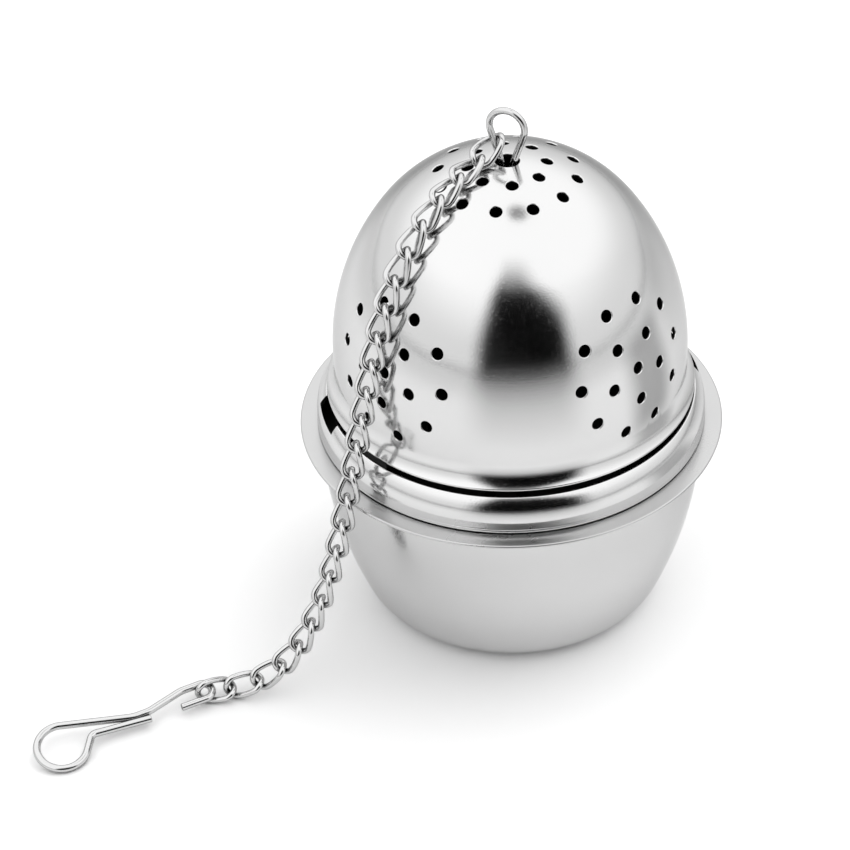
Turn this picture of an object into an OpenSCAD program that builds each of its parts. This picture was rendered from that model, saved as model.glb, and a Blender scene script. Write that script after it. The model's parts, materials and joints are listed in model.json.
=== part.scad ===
// Tea infuser. A pierced ball of two pressed steel halves stands in a drip cup with a flange.
// The upper half is a dome that locks into the lower half with a short turn. A wire eye turns in the
// dome's crown, and a curb chain of 24 links runs from it over the dome to a bent wire hook.
// Millimetres. The origin is the middle of the drip cup's base, +Z is up and -Y is the front.

/* [Sheet] */
// Thickness of the pressed sheet
sheet_t = 0.45; // [0.35:0.05:0.55]
// Gap where one pressing sits on another
seat_gap = 0.1; // [0.05:0.05:0.2]

/* [Drip cup] */
// Gap between the ball and the wall under the flange
wall_gap = 1.55; // [1.4:0.05:1.9]
// Gap between the ball and the cup's floor
under_gap = 3; // [2:0.1:4]
// Width of the flange outside the wall
rim_w = 2.4; // [2:0.1:3]
// Radius of the wall's curve in section
cup_side_round = 60; // [50:1:80]
// Radius of the bottom corner
cup_corner_round = 4.7; // [4:0.1:6]
// Radius of the bend from flange to wall
lip_round = 0.7; // [0.6:0.05:1]

/* [Lower half] */
// Outer radius of the lower half of the ball
ball_r = 22.6; // [20.6:0.1:24.6]
// Radius of the rolled bead that sits on the cup
bead_round = 0.6; // [0.5:0.05:0.65]
// Distance of the bead's edge outside the cup wall's radius
bead_out = 0.2; // [0.1:0.05:0.25]
// Height of the shoulder's foot above the middle of the bead
band_h = 1.15; // [1:0.05:1.4]
// Step in from the bead to the foot of the shoulder
band_in = 0.05; // [0.05:0.05:0.15]
// Radius of the shoulder above the bead
shoulder_round = 4.2; // [4:0.1:4.6]
// Distance that the shoulder's lip reaches in from its foot
lip_reach = 1.6; // [1.55:0.05:1.7]

/* [Dome] */
// Step in from the lower half's lip to the dome's largest radius
dome_in = 0.85; // [0.7:0.05:1]
// Height of the crown above the dome's widest point
dome_h = 26.95; // [26:0.05:28]
// Difference between the dome's largest radius and the crown's radius
crown_in = 2.2; // [1.8:0.05:2.6]
// Radius of the flare at the lower edge
flare_round = 3.7; // [3.2:0.1:4.4]
// Angle below the widest point at which the flare starts
flare_start = 3.7; // [3.2:0.1:4.4]
// Distance that the flared edge stands out beyond the dome
flare_out = 1.2; // [1.1:0.05:1.25]
// Open gap between the lower half's lip and the flared edge
dome_gap = 0.95; // [0.8:0.05:1.2]

/* [Twist lock] */
// Angular width of each locking tab
tab_deg = 10; // [8:0.5:12]
// Angular width of each notch in the lip
notch_deg = 16; // [14:0.5:20]
// Direction of the first notch
notch_az = 192; // [186:1:198]
// Depth of each notch from the lip's edge
notch_depth = 1.15; // [1.1:0.05:1.15]
// Turn from open to locked
lock_turn = 30; // [26:1:40]
// Play between tab and lip
tab_gap = 0.3; // [0.2:0.05:0.35]
// Height of the lug under the lip
lug_h = 0.8; // [0.6:0.05:1]

/* [Holes] */
// Diameter of the brewing holes
hole_d = 1.5; // [1.2:0.05:1.6]
// Diameter of the crown hole that carries the eye
crown_hole_d = 3; // [2.9:0.05:3.3]
// Radius of the inner crown ring
ring_1_r = 4.8; // [4.5:0.1:5.2]
// Radius of the outer crown ring
ring_2_r = 8.5; // [8:0.1:8.8]
// Direction of the first rosette
rosette_az = 43; // [38:1:48]
// Height of the rosettes above the dome's widest point
rosette_h = 6.95; // [6.7:0.05:7.4]
// Radius of a rosette's inner ring
rosette_1_r = 4.25; // [3.9:0.05:4.6]
// Radius of a rosette's outer ring
rosette_2_r = 8.4; // [7.8:0.1:8.5]
// Distance of the lower rosettes below the ring, along the ball
ball_rosette_s = 11.5; // [11:0.1:12.5]

/* [Eye] */
// Wire diameter of the eye
eye_d = 0.85; // [0.75:0.05:0.95]
// Middle radius of the eye's loop
eye_loop_r = 2.25; // [2:0.05:2.5]
// Height of the loop's middle above the crown
eye_h = 4.5; // [4.3:0.1:5]
// Half the distance between the legs at the crown
eye_leg = 0.8; // [0.75:0.05:0.85]
// Radius of the bends at the feet
foot_round = 0.8; // [0.6:0.05:1]
// Reach of the feet under the crown
foot_reach = 3.2; // [2.8:0.1:3.6]
// Gap between the feet and the crown
foot_gap = 0.3; // [0.25:0.05:0.5]
// Direction of the eye's plane
eye_az = -25; // [-35:1:-15]

/* [Chain] */
// Wire diameter of a link
link_d = 0.76; // [0.7:0.02:0.8]
// Outer width of a link
link_w = 3.3; // [3.2:0.02:3.5]
// Distance from link to link
link_pitch = 3.66; // [3.6:0.01:3.75]
// Play between neighbouring links
link_gap = 0.2; // [0.16:0.01:0.24]
// Twist of each end of a link
link_twist = 45; // [42:1:48]
// Roll of the first link around the eye's leg
eye_roll = -15; // [-20:1:-10]
// Roll from link to link on the way to the hook
hook_roll = -9; // [-9.5:0.1:-8.5]
// Height above the crown at which the chain holds the eye
chain_eye_h = 2.2; // [2.1:0.05:2.4]
// Direction in which the chain leaves the eye
chain_az = 224.3; // [218:0.1:228]
// Gap between the chain and the dome
drape_gap = 0.3; // [0.25:0.05:0.45]
// Gap between the chain and the flange's edge
rim_gap = 0.3; // [0.25:0.05:0.6]
// Gap between the chain and the table
table_gap = 0.05; // [0.02:0.01:0.1]
// Distance from the flange's edge at which the chain lies flat on the table
land_out = 21.2; // [20:0.1:22]
// Direction of that point
land_az = 210.7; // [206:0.1:214]
// Direction of the chain on the table
land_head = 198; // [192:0.1:204]
// Straightness of the fall from the flange
fall_pull = 29; // [26:0.1:30]
// Straightness of the landing
land_pull = 6; // [5:0.1:8]

/* [Hook] */
// Wire diameter of the hook
hook_d = 0.95; // [0.85:0.05:1]
// Direction of the hook on the table
hook_az = 205; // [198:0.5:212]
// Roll of the hook about its length
hook_lean = 14; // [10:1:16]
// Middle radius of the turn that holds the chain
turn_r = 1.15; // [1.1:0.05:1.25]
// Slack of the last link in that turn
hook_slack = 0.8; // [0:0.1:0.9]
// Length of the hook's point
point_len = 3.4; // [3:0.1:4]
// Distance to the first bend of the shank
shank_1 = 2.1; // [1.8:0.1:2.6]
// Distance to the middle bends of the shank
shank_2 = 7.9; // [7.4:0.1:8.4]
// Distance to the last bend of the shank
shank_3 = 9; // [8.6:0.1:9.4]
// Sideways place of the shank's middle
shank_side = 0.05; // [0:0.01:0.1]
// Radius of the gentle bends
shank_round = 4; // [3:0.1:5]
// Middle radius of the finger loop
finger_r = 3.15; // [2.9:0.05:3.4]
// Distance of the finger loop's middle
finger_x = 19.2; // [18.8:0.1:19.8]
// Sideways place of the finger loop's middle
finger_y = 0.6; // [0.4:0.05:0.8]
// Distance of the neck's bend
neck_x = 14.7; // [14.4:0.1:14.9]
// Sideways place of the neck's bend
neck_y = 1.4; // [1.3:0.05:1.6]
// Radius of the neck's bend
neck_round = 1; // [0.8:0.05:1.2]
// Distance to the end of the tail
tail_x = 7.5; // [7.2:0.1:8]
// Gap between tail and shank
tail_gap = 0.12; // [0.08:0.01:0.2]

/* [Hidden] */
link_count = 24;
$fn = 48;

// Arcs that run into each other cross by this much instead of only touching
arc_swell = 0.004;
arc_lap = 0.05;

// Heights from the cup's floor up: ball, bead, and the bend under the flange that the bead sits on
cup_r = ball_r + wall_gap + sheet_t;
rim_r = cup_r + rim_w;
ball_cz = sheet_t + under_gap + ball_r;
bead_cz = ball_cz + sheet_t;
bead_cr = cup_r + bead_out - bead_round;
bead_reach = lip_round + bead_round + seat_gap;
lip_cr = cup_r - sheet_t + lip_round;
lip_cz = bead_cz - sqrt(pow(bead_reach, 2) - pow(lip_cr - bead_cr, 2));
cup_h = lip_cz + lip_round;

// Drip cup: side arc, corner arc and the bend into the flange
lip_lap = lip_round / 4;
side_cr = cup_r - cup_side_round;
corner_span = cup_side_round - cup_corner_round;
corner_cr = side_cr + sqrt(pow(corner_span, 2) - pow(lip_cz - cup_corner_round, 2));
corner_a = atan2(cup_corner_round - lip_cz, corner_cr - side_cr);

// Lower half: band, shoulder and lip
band_r = bead_cr + bead_round - band_in;
shoulder_cr = band_r - shoulder_round;
shoulder_cz = bead_cz + band_h;
lip_r = band_r - lip_reach;
lip_mid = shoulder_round - sheet_t / 2;
lip_a = acos((lip_r + sheet_t / 2 - shoulder_cr) / lip_mid);
lip_top = shoulder_cz + lip_mid * sin(lip_a) + sheet_t / 2;

// Dome: flare, side arc and crown. The side arc runs smoothly into the crown
dome_r = lip_r - dome_in;
dome_crown_round = dome_r - crown_in;
crown_rise = dome_h - dome_crown_round;
dome_side_round = (pow(dome_r, 2) + pow(crown_rise, 2) - pow(dome_crown_round, 2)) / (2 * crown_in);
flare_r = dome_r + flare_out;
dome_cr = dome_r - dome_side_round;
flare_cr = dome_cr + (dome_side_round + flare_round) * cos(flare_start);
flare_drop = (dome_side_round + flare_round) * sin(flare_start);
flare_end = sqrt(pow(flare_round, 2) - pow(flare_cr - flare_r, 2));
edge_z = lip_top + dome_gap;
dome_z = edge_z + flare_end + flare_drop;
flare_cz = dome_z - flare_drop;
crown_z = dome_z + crown_rise;
crown_a = atan2(crown_rise, -dome_cr);
apex_z = dome_z + dome_h;

// Twist lock: tab strip, lug under the lip and rest on the lip
strip_r = lip_r - tab_gap;
lug_ease = 0.1;
lug_r = band_r - sheet_t - tab_gap - lug_ease;
lug_arc = shoulder_round - sheet_t - tab_gap;
lug_top = shoulder_cz + sqrt(pow(lug_arc, 2) - pow(lug_r - shoulder_cr, 2));
rest_r = flare_r - lug_ease;
strip_weld = 0.6;
rest_weld = 0.075;

// Rosettes: number, first and second ring
rosette_n = 4;
rosette_1_n = 5;
rosette_2_n = 10;
ring_1_n = 8;
ring_1_az = 4;
ring_2_n = 12;
ring_2_az = 18;
rosette_s = asin(rosette_h / dome_side_round) * PI / 180 * dome_side_round;
drill = 4;
deg = 180 / PI;

// Eye: feet, leg bends and loop, in its own upright plane
foot_in_z = crown_z + sqrt(pow(dome_crown_round - sheet_t, 2) - pow(foot_reach, 2));
foot_z = foot_in_z - foot_gap - eye_d / 2;
leg_lean = 0.1;
leg_c = eye_leg + foot_round - leg_lean;
loop_z = apex_z + eye_h;
eye_path = [
    [-foot_reach, foot_z, 0],
    [-leg_c, foot_z + foot_round, foot_round],
    [0, loop_z, -eye_loop_r],
    [leg_c, foot_z + foot_round, foot_round],
    [foot_reach, foot_z, 0]
];

// Hook: point, turn, shank, finger loop, neck and tail, in its own flat plane
tail_y = shank_side + hook_d + tail_gap;
hook_path = [
    [point_len, turn_r, 0],
    [0, 0, turn_r],
    [shank_1, shank_round - turn_r, shank_round],
    [shank_2, shank_side - shank_round, -shank_round],
    [shank_3, shank_side - shank_round, -shank_round],
    [finger_x, finger_y, finger_r],
    [neck_x, neck_y, -neck_round],
    [tail_x, tail_y, 0]
];

// Wire paths: bends are circles with a signed radius, joined by straight tangents
function turn360(a) = a - 360 * floor(a / 360);
function head(a, b) = atan2(b[1] - a[1], b[0] - a[0])
    - asin((b[2] - a[2]) / norm([b[0] - a[0], b[1] - a[1]]));
wire_lap = 0.03;
wire_swell = 0.006;
function touch(c, h) = [c[0] + c[2] * sin(h), c[1] - c[2] * cos(h)];

// Links: middle line of a twisted oval, in its own frame
link_b = (link_w - link_d) / 2;
link_a = (link_pitch + link_d + link_gap) / 2;
link_s = link_a - link_b;
link_bend_n = 8;
link_side_n = 4;
link_tube_n = 8;
function flat_oval() = concat(
    [for (k = [0:link_bend_n - 1]) let (t = 180 * k / link_bend_n - 90)
        [link_s + link_b * cos(t), link_b * sin(t)]],
    [for (k = [0:link_side_n - 1]) [link_s - 2 * link_s * k / link_side_n, link_b]],
    [for (k = [0:link_bend_n - 1]) let (t = 180 * k / link_bend_n + 90)
        [-link_s + link_b * cos(t), link_b * sin(t)]],
    [for (k = [0:link_side_n - 1]) [-link_s + 2 * link_s * k / link_side_n, -link_b]]
);
function twist_at(x) = -link_twist * x / link_a;
function twisted(p) = [p[0], p[1] * cos(twist_at(p[0])), p[1] * sin(twist_at(p[0]))];
link_line = [for (p = flat_oval()) twisted(p)];
link_ring_n = len(link_line);
hook_roll_n = 6;
function roll(i) = i == 1 ? eye_roll : hook_roll * max(0, i - link_count + hook_roll_n);
function half(a) = max([for (p = link_line) p[1] * sin(a) + p[2] * cos(a)]) + link_d / 2;
link_half = half(0);
function unit(v) = v / norm(v);
link_points = [for (k = [0:link_ring_n - 1])
    let (
        p = link_line[k],
        t = unit(link_line[(k + 1) % link_ring_n] - link_line[(k + link_ring_n - 1) % link_ring_n]),
        a = twist_at(p[0]),
        m = [0, -sin(a), cos(a)],
        u = unit(m - (m * t) * t),
        v = cross(t, u)
    )
    for (j = [0:link_tube_n - 1])
        p + link_d / 2 * (cos(360 * j / link_tube_n) * u + sin(360 * j / link_tube_n) * v)];
function corner(k, j) = (k % link_ring_n) * link_tube_n + j % link_tube_n;
link_faces = [for (k = [0:link_ring_n - 1]) for (j = [0:link_tube_n - 1]) for (s = [0, 1])
    s == 0 ? [corner(k, j), corner(k, j + 1), corner(k + 1, j + 1)]
           : [corner(k, j), corner(k + 1, j + 1), corner(k + 1, j)]];

// Route of the chain: from the eye, over the crown and side, past the flange, down to the table
eye_dir = [cos(eye_az), sin(eye_az), 0];
leg_head = head(eye_path[1], eye_path[2]);
leg_foot = touch(eye_path[1], leg_head);
hold_z = apex_z + chain_eye_h;
hold_u = leg_foot[0] + (hold_z - leg_foot[1]) / tan(leg_head);
hold = eye_dir * hold_u + [0, 0, hold_z];
lead = [cos(chain_az), sin(chain_az), 0];
side = [-sin(chain_az), cos(chain_az), 0];
aside = hold * side;
drape = link_half + drape_gap;
past_r = rim_r + link_half + rim_gap;
drape_side_r = dome_side_round + drape;
past_d = norm([past_r - dome_cr, cup_h - dome_z]);
leave_a = atan2(cup_h - dome_z, past_r - dome_cr) + acos(drape_side_r / past_d);
first_a = asin(link_pitch / (dome_crown_round + drape));
route_n = 24;
function on_plane(r, z) = lead * sqrt(r * r - aside * aside) + side * aside + [0, 0, z];
function crown_point(a) = on_plane((dome_crown_round + drape) * sin(a),
    crown_z + (dome_crown_round + drape) * cos(a));
function side_point(a) = on_plane(dome_cr + drape_side_r * cos(a), dome_z + drape_side_r * sin(a));
first_dir = unit(crown_point(first_a) - hold);
start = hold - first_dir * (eye_d + link_gap) / 2;
leave = side_point(leave_a);
past = on_plane(past_r, cup_h);
fall = past + unit(past - leave) * fall_pull;
land_r = rim_r + land_out;
land = [land_r * cos(land_az), land_r * sin(land_az), half(roll(link_count)) + table_gap];
table_dir = [cos(land_head), sin(land_head), 0];
settle = land - table_dir * land_pull;
table_run = 4 * link_pitch;
function fall_point(u) = past * pow(1 - u, 3) + fall * 3 * u * pow(1 - u, 2)
    + settle * 3 * u * u * (1 - u) + land * pow(u, 3);
route = concat(
    [start],
    [for (k = [0:route_n]) crown_point(first_a + (90 - crown_a - first_a) * k / route_n)],
    [for (k = [1:route_n]) side_point(crown_a + (leave_a - crown_a) * k / route_n)],
    [for (k = [0:2 * route_n]) fall_point(k / (2 * route_n))],
    [land + table_dir * table_run]
);
step_len = [for (k = [1:len(route) - 1]) norm(route[k] - route[k - 1])];
function lengths(n = 0, s = 0) = n >= len(step_len) ? [s]
    : concat([s], lengths(n + 1, s + step_len[n]));
route_len = lengths();
route_x = [for (k = [0:len(route) - 1]) [route_len[k], route[k][0]]];
route_y = [for (k = [0:len(route) - 1]) [route_len[k], route[k][1]]];
route_z = [for (k = [0:len(route) - 1]) [route_len[k], route[k][2]]];
function along(s) = [lookup(s, route_x), lookup(s, route_y), lookup(s, route_z)];
joint = [for (i = [0:link_count]) along(i * link_pitch)];
function link_t(i) = unit(joint[i] - joint[i - 1]);
function level(i) = unit(cross([0, 0, 1], link_t(i)));
function link_l(i) = level(i) * cos(roll(i)) + cross(link_t(i), level(i)) * sin(roll(i));
function link_n(i) = cross(link_t(i), link_l(i));

// Hook: held by the last link, the near side of its finger loop resting on the table
loop_drop = (finger_y + finger_r) * sin(hook_lean);
hook_tilt = asin((joint[link_count][2] - hook_d / 2 - table_gap - loop_drop) / finger_x);
hook_set = turn_r - (hook_d + link_gap) / 2 - hook_slack;
hook_dir = [cos(hook_az), sin(hook_az), 0];
hook_at = joint[link_count] + hook_dir * hook_set;

module cup_area(o) {
    split = cup_corner_round + (cup_corner_round - o) * sin(corner_a);
    intersection() {
        translate([side_cr, lip_cz])
            circle(cup_side_round - o, $fn = 360);
        union() {
            translate([corner_cr, cup_corner_round])
                circle(cup_corner_round + arc_swell - o);
            translate([0, o])
                square([corner_cr, cup_corner_round]);
            translate([0, split])
                square([rim_r, cup_h]);
        }
        translate([0, o])
            square([rim_r, lip_cz + lip_lap - o]);
    }
    difference() {
        translate([0, lip_cz])
            square([lip_cr, lip_round]);
        translate([lip_cr, lip_cz])
            circle(lip_round - sheet_t + o);
    }
}

module drip_cup() {
    color("silver")
    rotate_extrude($fn = 128)
        difference() {
            union() {
                cup_area(0);
                translate([lip_cr, cup_h - sheet_t])
                    square([rim_r - sheet_t / 2 - lip_cr, sheet_t]);
                translate([rim_r - sheet_t / 2, cup_h - sheet_t / 2])
                    circle(sheet_t / 2);
            }
            cup_area(sheet_t);
        }
}

module drill_at(cr, cz, r, s, x, az) {
    b = s / r * deg;
    reach = cr + r * cos(b);
    rotate([0, 0, az + x / reach * deg])
        translate([cr, 0, cz])
            rotate([0, 90 - b, 0])
                translate([0, 0, r - drill / 2])
                    cylinder(d = hole_d, h = drill);
}

module rosette_drills(cr, cz, r, s, down) {
    for (q = [0:rosette_n - 1]) {
        az = rosette_az + 360 / rosette_n * q;
        drill_at(cr, cz, r, s, 0, az);
        for (k = [0:rosette_1_n - 1]) {
            a = 360 / rosette_1_n * k;
            drill_at(cr, cz, r, s - down * rosette_1_r * cos(a), rosette_1_r * sin(a), az);
        }
        for (k = [0:rosette_2_n - 1]) {
            a = 360 / rosette_2_n * (k + 0.5);
            drill_at(cr, cz, r, s - down * rosette_2_r * cos(a), rosette_2_r * sin(a), az);
        }
    }
}

module ring_drills(cz, r, up) {
    for (k = [0:ring_1_n - 1])
        drill_at(0, cz, r, up * (90 - asin(ring_1_r / r)) / deg * r, 0, ring_1_az + 360 / ring_1_n * k);
    for (k = [0:ring_2_n - 1])
        drill_at(0, cz, r, up * (90 - asin(ring_2_r / r)) / deg * r, 0, ring_2_az + 360 / ring_2_n * k);
}

module cap_section() {
    intersection() {
        translate([0, ball_cz])
            difference() {
                circle(ball_r, $fn = 128);
                circle(ball_r - sheet_t, $fn = 128);
            }
        translate([0, ball_cz - ball_r])
            square([ball_r, ball_r]);
    }
    translate([ball_r - sheet_t, ball_cz])
        square([bead_cr - ball_r + sheet_t, sheet_t]);
    translate([bead_cr, bead_cz])
        circle(bead_round);
    translate([band_r - sheet_t, bead_cz])
        square([sheet_t, band_h]);
    intersection() {
        translate([shoulder_cr, shoulder_cz])
            difference() {
                circle(shoulder_round);
                circle(shoulder_round - sheet_t);
            }
        translate([shoulder_cr, shoulder_cz])
            polygon([[0, 0], [shoulder_round * 2, 0], [shoulder_round * 2, shoulder_round * 2 * tan(lip_a)]]);
    }
    translate([shoulder_cr + lip_mid * cos(lip_a), shoulder_cz + lip_mid * sin(lip_a)])
        circle(sheet_t / 2);
}

module lower_cap() {
    color("gainsboro")
    difference() {
        rotate_extrude($fn = 128)
            cap_section();
        for (k = [0, 180])
            rotate([0, 0, notch_az - notch_deg / 2 + k])
                rotate_extrude(angle = notch_deg)
                    translate([shoulder_cr, shoulder_cz])
                        square([lip_r + notch_depth - shoulder_cr, shoulder_round + sheet_t]);
        translate([0, 0, ball_cz - ball_r - drill / 2])
            cylinder(d = hole_d, h = drill);
        ring_drills(ball_cz, ball_r, -1);
        rosette_drills(0, ball_cz, ball_r, -ball_rosette_s, -1);
    }
}

module dome_area(o, low) {
    join = crown_z + (dome_crown_round - o) * sin(crown_a);
    begin = dome_z - (dome_side_round - o) * sin(flare_start);
    difference() {
        union() {
            intersection() {
                translate([dome_cr, dome_z])
                    circle(dome_side_round - o, $fn = 256);
                union() {
                    translate([0, crown_z])
                        circle(dome_crown_round + arc_swell - o, $fn = 128);
                    translate([0, begin])
                        square([2 * dome_r, join - begin]);
                }
                translate([0, begin])
                    square([2 * dome_r, 2 * dome_crown_round]);
            }
            translate([0, low])
                square([flare_cr, begin + arc_lap - low]);
        }
        translate([flare_cr, flare_cz])
            circle(flare_round + arc_swell + o);
    }
}

module tab() {
    rotate([0, 0, notch_az + lock_turn - tab_deg / 2])
        rotate_extrude(angle = tab_deg) {
            translate([strip_r - sheet_t, lug_top - lug_h])
                square([sheet_t, edge_z + strip_weld - lug_top + lug_h]);
            translate([strip_r - sheet_t, lug_top - lug_h])
                square([lug_r - strip_r + sheet_t, lug_h]);
            translate([strip_r - sheet_t, lip_top + seat_gap])
                square([rest_r - strip_r + sheet_t, dome_gap - seat_gap + rest_weld]);
        }
}

module dome() {
    color("silver") {
        difference() {
            rotate_extrude($fn = 128)
                difference() {
                    dome_area(0, edge_z);
                    dome_area(sheet_t, edge_z - sheet_t);
                }
            translate([0, 0, apex_z - drill])
                cylinder(d = crown_hole_d, h = 2 * drill);
            ring_drills(crown_z, dome_crown_round, 1);
            rosette_drills(dome_cr, dome_z, dome_side_round, rosette_s, 1);
        }
        for (k = [0, 180])
            rotate([0, 0, k])
                tab();
    }
}

module straight(a, b, d) {
    translate([a[0], a[1], 0])
        rotate([0, 90, atan2(b[1] - a[1], b[0] - a[0])])
            translate([0, 0, -wire_lap])
                cylinder(d = d, h = norm(b - a) + 2 * wire_lap);
}

module bend(c, h_in, h_out, d) {
    r = abs(c[2]);
    from = c[2] > 0 ? h_in - 90 : h_out + 90;
    sweep = c[2] > 0 ? turn360(h_out - h_in) : turn360(h_in - h_out);
    translate([c[0], c[1], 0])
        rotate([0, 0, from])
            rotate_extrude(angle = sweep)
                translate([r, 0])
                    circle(d = d + wire_swell);
}

module wire(path, d) {
    for (k = [1:len(path) - 1]) {
        h = head(path[k - 1], path[k]);
        straight(touch(path[k - 1], h), touch(path[k], h), d);
    }
    for (k = [1:len(path) - 2])
        bend(path[k], head(path[k - 1], path[k]), head(path[k], path[k + 1]), d);
}

module top_eye() {
    color("lightgray")
    rotate([90, 0, eye_az])
        wire(eye_path, eye_d);
}

module link(i) {
    t = link_t(i);
    l = link_l(i);
    n = link_n(i);
    m = (joint[i] + joint[i - 1]) / 2;
    color("lightgray")
    multmatrix([
        [t[0], l[0], n[0], m[0]],
        [t[1], l[1], n[1], m[1]],
        [t[2], l[2], n[2], m[2]],
        [0, 0, 0, 1]
    ])
        polyhedron(link_points, link_faces);
}

module end_hook() {
    color("lightgray")
    translate(hook_at)
        rotate([0, 0, hook_az])
            rotate([-hook_lean, hook_tilt, 0])
                wire(hook_path, hook_d);
}

drip_cup();
lower_cap();
dome();
top_eye();
for (i = [1:link_count])
    link(i);
end_hook();
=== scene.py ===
"""Looks of the tea infuser: pierced steel ball, drip cup, wire eye, curb chain and hook."""

import json
import math

import bpy
import numpy as np
from mathutils import Matrix, Vector
from mathutils.geometry import delaunay_2d_cdt


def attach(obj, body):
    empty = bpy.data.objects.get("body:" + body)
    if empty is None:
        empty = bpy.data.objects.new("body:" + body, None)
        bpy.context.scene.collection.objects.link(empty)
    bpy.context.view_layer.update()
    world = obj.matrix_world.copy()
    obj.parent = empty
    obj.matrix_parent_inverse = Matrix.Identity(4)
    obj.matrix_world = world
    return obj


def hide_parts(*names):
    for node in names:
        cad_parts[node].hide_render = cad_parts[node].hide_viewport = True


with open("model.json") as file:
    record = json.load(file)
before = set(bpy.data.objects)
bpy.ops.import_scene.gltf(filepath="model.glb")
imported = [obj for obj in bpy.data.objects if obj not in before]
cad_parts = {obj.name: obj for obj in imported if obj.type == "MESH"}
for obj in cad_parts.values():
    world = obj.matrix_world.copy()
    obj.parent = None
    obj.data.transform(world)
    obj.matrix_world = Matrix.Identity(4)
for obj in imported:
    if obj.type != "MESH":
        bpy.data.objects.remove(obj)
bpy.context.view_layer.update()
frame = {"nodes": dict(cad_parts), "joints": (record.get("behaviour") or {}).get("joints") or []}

# Metres in a millimetre, and how close in millimetres two points are one
MM, WELD = 0.001, 1e-5

# Driving sizes in millimetres, as in the part's source
SHEET, SEAT = 0.45, 0.1

BALL_R, WALL_GAP, UNDER_GAP, RIM_W = 22.6, 1.55, 3.0, 2.4
CUP_SIDE, CUP_CORNER, CUP_LIP = 60.0, 4.7, 0.7

BEAD_R, BEAD_OUT, BAND_IN, BAND_H = 0.6, 0.2, 0.05, 1.15
SHOULDER_R, LIP_REACH = 4.2, 1.6
NOTCH_AZ, NOTCH_DEG, NOTCH_DEPTH, LOCK_TURN = 192, 16, 1.15, 30

DOME_IN, DOME_H, CROWN_IN, DOME_GAP = 0.85, 26.95, 2.2, 0.95
FLARE_R, FLARE_DEG, FLARE_OUT = 3.7, 3.7, 1.2
TAB_DEG, TAB_GAP, LUG_H, LUG_EASE = 10, 0.3, 0.8, 0.1
REST_SINK, STRIP_SINK = 0.05, 0.55

HOLE_R, CROWN_HOLE_R = 0.75, 1.5
RINGS = ((4.8, 8, 4), (8.5, 12, 18))
ROSETTE_AZ, ROSETTES, ROSETTE_RINGS = 43, 4, ((0, 1, 0), (4.25, 5, 0), (8.4, 10, 0.5))
ROSETTE_H, BALL_ROSETTE = 6.95, 11.5

EYE_D, EYE_LOOP_R, EYE_H, EYE_LEG, EYE_AZ = 0.85, 2.25, 4.5, 0.8, -25
FOOT_ROUND, FOOT_REACH, FOOT_GAP, LEG_LEAN = 0.8, 3.2, 0.3, 0.1

LINKS = 24
LINK_D, LINK_W, LINK_PITCH, LINK_GAP, LINK_TWIST = 0.76, 3.3, 3.66, 0.2, 45

HOOK_D, HOOK_AZ, HOOK_LEAN, HOOK_SLACK, TABLE_GAP = 0.95, 205, 14, 0.8, 0.05
TURN_R, POINT_LEN, FINGER_R = 1.15, 3.4, 3.15
SHANK, SHANK_SIDE, SHANK_ROUND = (2.1, 7.9, 9.0), 0.05, 4.0
FINGER, NECK, NECK_ROUND, TAIL_X, TAIL_GAP = (19.2, 0.6), (14.7, 1.4), 1.0, 7.5, 0.12

# Sizes that follow from them
CUP_R = BALL_R + WALL_GAP + SHEET
RIM_R = CUP_R + RIM_W
BALL_Z = SHEET + UNDER_GAP + BALL_R
BEAD_X, BEAD_Z = CUP_R + BEAD_OUT - BEAD_R, BALL_Z + SHEET
LIP_CR = CUP_R - SHEET + CUP_LIP
LIP_CZ = BEAD_Z - math.sqrt((CUP_LIP + BEAD_R + SEAT) ** 2 - (LIP_CR - BEAD_X) ** 2)
CUP_H = LIP_CZ + CUP_LIP
BAND_R = BEAD_X + BEAD_R - BAND_IN
SHOULDER_X, SHOULDER_Z = BAND_R - SHOULDER_R, BEAD_Z + BAND_H
LIP_R, LIP_MID = BAND_R - LIP_REACH, SHOULDER_R - SHEET / 2
LIP_DEG = math.degrees(math.acos((LIP_R + SHEET / 2 - SHOULDER_X) / LIP_MID))
LIP_TOP = SHOULDER_Z + LIP_MID * math.sin(math.radians(LIP_DEG)) + SHEET / 2
NOTCH_R = LIP_R + NOTCH_DEPTH

DOME_R = LIP_R - DOME_IN
CROWN_R = DOME_R - CROWN_IN
CROWN_RISE = DOME_H - CROWN_R
DOME_SIDE = (DOME_R ** 2 + CROWN_RISE ** 2 - CROWN_R ** 2) / (2 * CROWN_IN)
DOME_X = DOME_R - DOME_SIDE
FLARE_A = math.radians(FLARE_DEG)
FLARE_EDGE = DOME_R + FLARE_OUT
FLARE_X = DOME_X + (DOME_SIDE + FLARE_R) * math.cos(FLARE_A)
EDGE_Z = LIP_TOP + DOME_GAP
FLARE_Z = EDGE_Z + math.sqrt(FLARE_R ** 2 - (FLARE_X - FLARE_EDGE) ** 2)
DOME_Z = FLARE_Z + (DOME_SIDE + FLARE_R) * math.sin(FLARE_A)
CROWN_Z, APEX_Z = DOME_Z + CROWN_RISE, DOME_Z + DOME_H

STRIP_R, REST_R = LIP_R - TAB_GAP, FLARE_EDGE - LUG_EASE
LUG_R = BAND_R - SHEET - TAB_GAP - LUG_EASE
LUG_TOP = SHOULDER_Z + math.sqrt((SHOULDER_R - SHEET - TAB_GAP) ** 2 - (LUG_R - SHOULDER_X) ** 2)

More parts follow.
